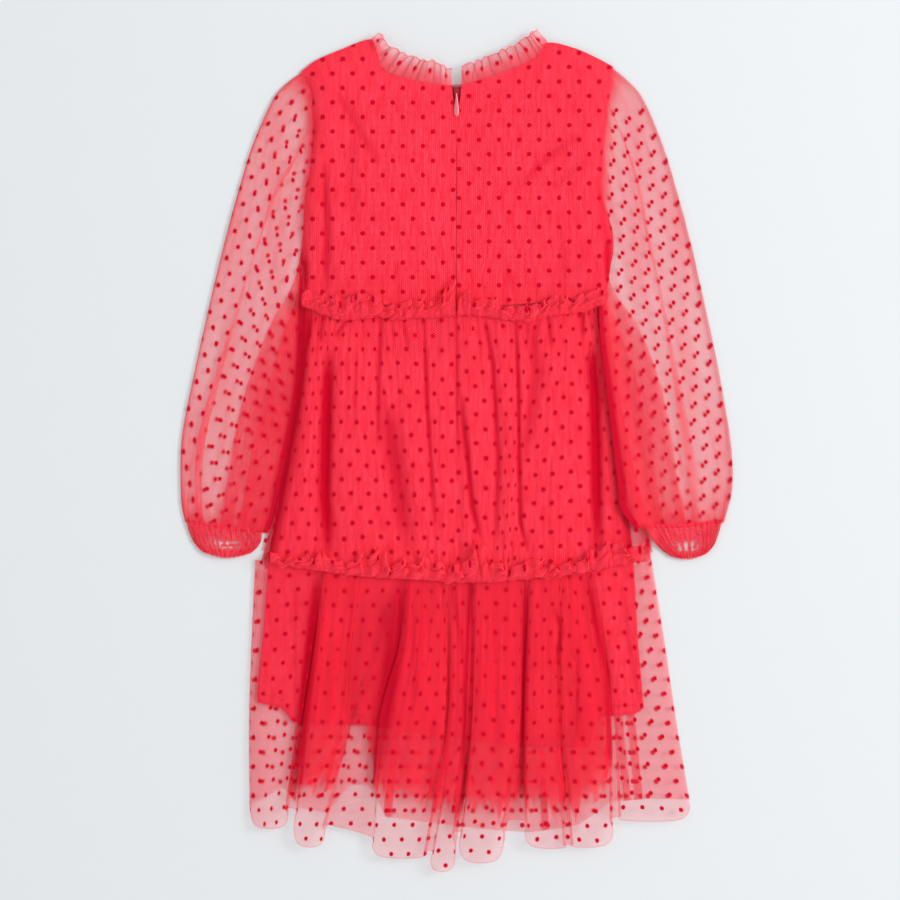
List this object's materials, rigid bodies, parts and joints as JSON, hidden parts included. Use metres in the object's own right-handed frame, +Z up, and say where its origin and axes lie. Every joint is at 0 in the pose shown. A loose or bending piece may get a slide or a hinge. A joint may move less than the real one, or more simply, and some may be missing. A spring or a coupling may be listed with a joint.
{
  "type": "party dress",
  "caption": "Child's long-sleeved party dress of dotted tulle over a lining, with gathered tiers and frills, laid flat with its back upwards.",
  "frame": {"origin": "on the surface that the dress lies on, under the middle of its outline", "axes": "+Z up out of the surface, +Y from the hem to the neck, +X to the right of the back as seen from above"},
  "size_m": [0.45, 0.688, 0.0166],
  "materials": {
    "dotted_tulle": "coral-red net with darker flocked dots over a lining",
    "sheer_tulle": "sheer coral-red net with darker flocked dots",
    "lining": "matt crinkled lining",
    "petticoat_net": "plain gathered net",
    "zip_tape": "woven tape with a coil",
    "zip_paint": "satin enamel"
  },
  "bodies": {
    "dress": {"bodice_front": "dotted_tulle", "bodice_front_lining": "lining", "bodice_back_left": "dotted_tulle", "bodice_back_right": "dotted_tulle", "bodice_back_lining_left": "lining", "bodice_back_lining_right": "lining", "neck_frill_front": "sheer_tulle", "neck_frill_left": "sheer_tulle", "neck_frill_right": "sheer_tulle", "sleeve_left": "sheer_tulle", "sleeve_right": "sheer_tulle", "cuff_left": "sheer_tulle", "cuff_right": "sheer_tulle", "waist_frill_front": "dotted_tulle", "waist_frill_left": "dotted_tulle", "waist_frill_right": "dotted_tulle", "tier1_front": "dotted_tulle", "tier1_back_left": "dotted_tulle", "tier1_back_right": "dotted_tulle", "tier2_frill_front": "dotted_tulle", "tier2_frill_back": "dotted_tulle", "tier2_front": "sheer_tulle", "tier2_back": "sheer_tulle", "skirt_lining_front": "lining", "skirt_lining_back": "lining", "under_net": "petticoat_net", "zip_tape": "zip_tape", "zip_slider": "zip_paint"},
    "pull": {"zip_pull": "zip_paint"}
  },
  "joints": [
    {"name": "pull_hinge", "type": "hinge", "parent": "dress", "child": "pull", "pos_m": [0, 0.2908, 0.008], "axis": [-1, 0, 0], "range_deg": [0, 150]}
  ]
}
